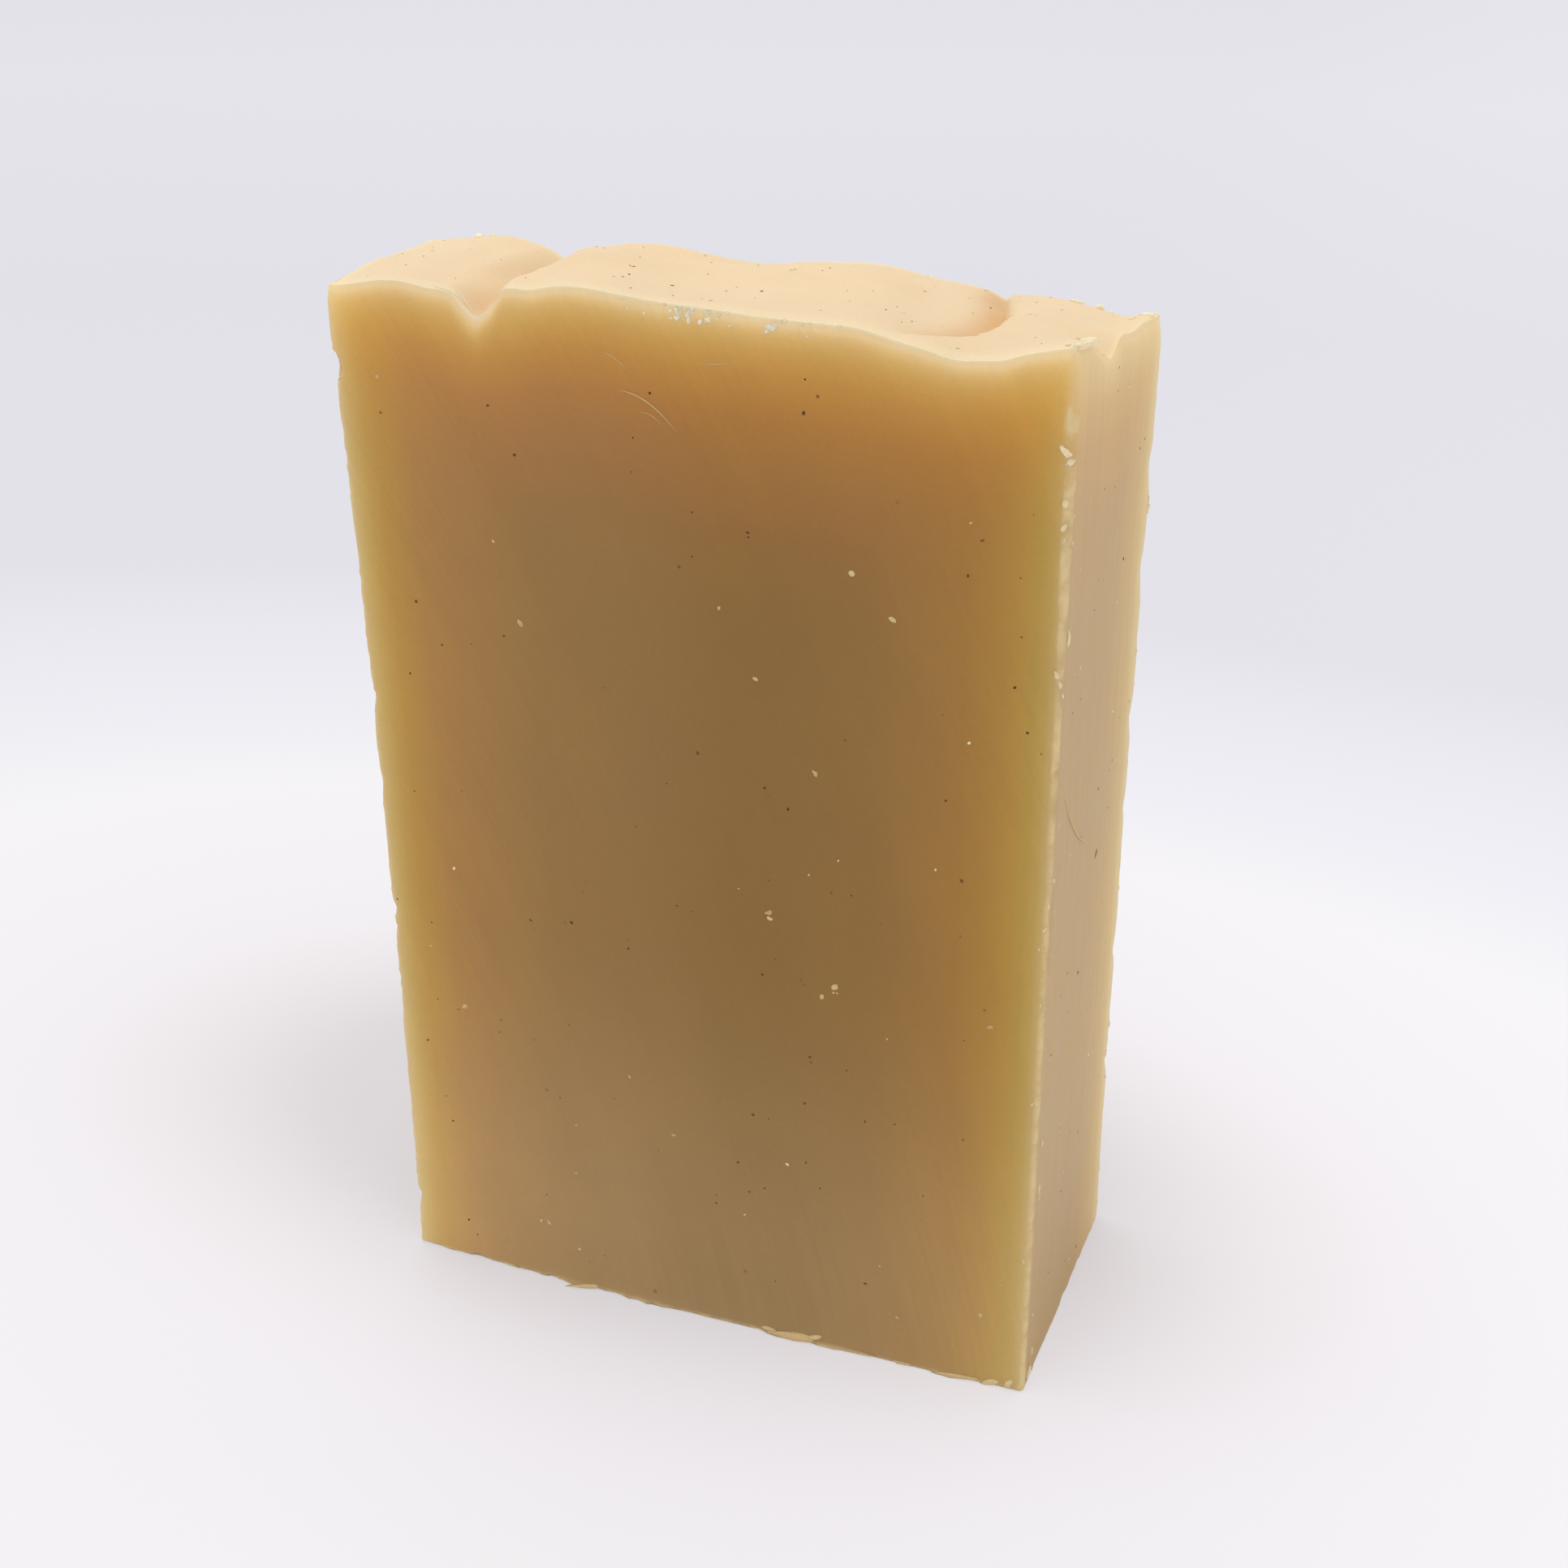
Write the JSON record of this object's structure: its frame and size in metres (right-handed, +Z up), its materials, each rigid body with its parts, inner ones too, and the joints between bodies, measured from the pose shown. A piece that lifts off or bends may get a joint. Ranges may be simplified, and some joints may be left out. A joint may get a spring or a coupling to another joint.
{
  "type": "bar of soap",
  "caption": "Rectangular slice of handmade soap standing on end, with flat cut faces and a spoon-textured poured top.",
  "frame": {"origin": "middle of the footprint, on the surface the bar stands on", "axes": "+Z up to the poured top, +X to the right along the width, -Y out of the front cut face"},
  "size_m": [0.062, 0.025, 0.0931],
  "materials": {
    "soap": "satin, waxy, slightly translucent, pale at the edges"
  },
  "bodies": {
    "root": {"soap_bar": "soap"}
  },
  "joints": []
}
